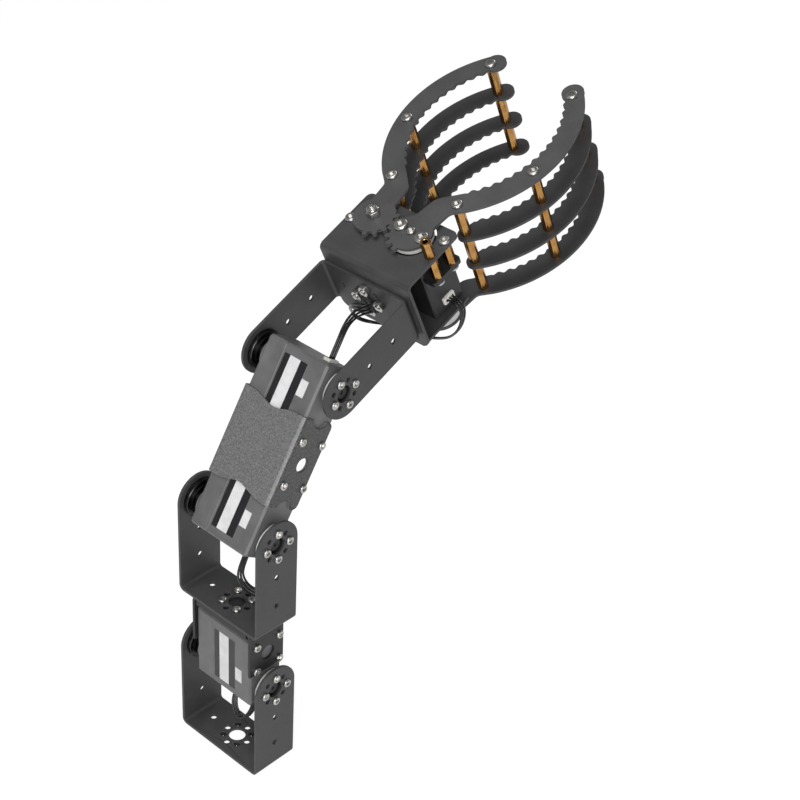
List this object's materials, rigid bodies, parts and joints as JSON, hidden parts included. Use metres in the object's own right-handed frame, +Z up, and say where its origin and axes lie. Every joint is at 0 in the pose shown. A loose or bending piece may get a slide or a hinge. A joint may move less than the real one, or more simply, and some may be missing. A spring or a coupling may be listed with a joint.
{
  "type": "robot arm with gripper claw",
  "caption": "Small jointed robot arm of folded brackets and servo cases, ending in a claw of two curved serrated fingers on meshing gear sectors.",
  "frame": {"origin": "centre of the base bracket's underside, on the surface that it is bolted to", "axes": "+Z up from the mounting surface, +X along the pitch shafts towards the idler discs, +Y forward, the way the arm leans in the rest pose"},
  "size_m": [0.0903, 0.2335, 0.3033],
  "materials": {
    "powder_coat": "matt powder coat",
    "case": "satin moulded",
    "disc_metal": "turned",
    "fastener": "nickel plated",
    "brass": "machined",
    "plug": "moulded",
    "lead": "soft insulation"
  },
  "bodies": {
    "base": {"base_bracket": "powder_coat", "shoulder_disc_screws": "fastener", "shoulder_output_disc": "disc_metal", "shoulder_idler_disc": "disc_metal", "shoulder_output_shaft": "disc_metal"},
    "lower_link": {"shoulder_servo_gear_case": "case", "shoulder_servo_body_case": "case", "shoulder_servo_plug": "plug", "servo_mount_bracket": "powder_coat", "servo_mount_screws": "fastener", "link_bracket": "powder_coat", "link_screws": "fastener", "link_nuts": "fastener", "elbow_disc_screws": "fastener", "elbow_output_disc": "disc_metal", "elbow_idler_disc": "disc_metal", "elbow_output_shaft": "disc_metal", "lower_lead": "lead"},
    "mid_link": {"elbow_servo_gear_case": "case", "elbow_servo_body_case": "case", "elbow_servo_plug": "plug", "wrist_servo_gear_case": "case", "wrist_servo_body_case": "case", "wrist_servo_plug": "plug", "twin_servo_bracket": "powder_coat", "twin_bracket_screws": "fastener"},
    "wrist": {"wrist_bracket": "powder_coat", "wrist_disc_screws": "fastener", "wrist_output_disc": "disc_metal", "wrist_idler_disc": "disc_metal", "wrist_output_shaft": "disc_metal", "gripper_frame": "powder_coat", "frame_screws": "fastener", "frame_nuts": "fastener", "gripper_servo_gear_case": "case", "gripper_servo_body_case": "case", "gripper_servo_plug": "plug", "servo_standoffs": "brass", "servo_screws": "fastener", "stop_post": "brass", "upper_pivot_bolt": "fastener", "upper_pivot_spacer": "fastener", "lower_pivot_stud": "fastener", "lock_nuts": "fastener", "gripper_lead": "lead"},
    "drive_finger": {"gripper_output_disc": "disc_metal", "gripper_idler_disc": "disc_metal", "gripper_output_shaft": "disc_metal", "drive_top_plate": "powder_coat", "drive_bottom_plate": "powder_coat", "drive_middle_plates": "powder_coat", "drive_finger_standoffs": "brass", "drive_finger_screws": "fastener", "drive_lower_spacer": "disc_metal", "drive_screws": "fastener"},
    "idler_finger": {"idler_top_plate": "powder_coat", "idler_bottom_plate": "powder_coat", "idler_middle_plates": "powder_coat", "idler_finger_standoffs": "brass", "idler_finger_screws": "fastener"}
  },
  "joints": [
    {"name": "shoulder_pitch", "type": "hinge", "parent": "base", "child": "lower_link", "pos_m": [0, 0, 0.0494], "axis": [-1, 0, 0], "range_deg": [-90, 90]},
    {"name": "elbow_pitch", "type": "hinge", "parent": "lower_link", "child": "mid_link", "pos_m": [0, 0, 0.13565], "axis": [-1, 0, 0], "range_deg": [-121.7, 58.3], "deforming": ["lower_lead"]},
    {"name": "wrist_pitch", "type": "hinge", "parent": "mid_link", "child": "wrist", "pos_m": [0, 0.03967, 0.19989], "axis": [-1, 0, 0], "range_deg": [-107.6, 42.4], "deforming": ["gripper_lead"]},
    {"name": "drive_finger_turn", "type": "hinge", "parent": "wrist", "child": "drive_finger", "pos_m": [0.01185, 0.10671, 0.23215], "axis": [0, 0.4337, -0.9011], "range_deg": [-9.8, 60]},
    {"name": "idler_finger_turn", "type": "hinge", "parent": "wrist", "child": "idler_finger", "pos_m": [-0.01155, 0.10671, 0.23215], "axis": [0, 0.4337, -0.9011], "range_deg": [-60, 9.8]}
  ],
  "couplings": [
    {"joint": "idler_finger_turn", "follows": "drive_finger_turn", "ratio": -1}
  ]
}
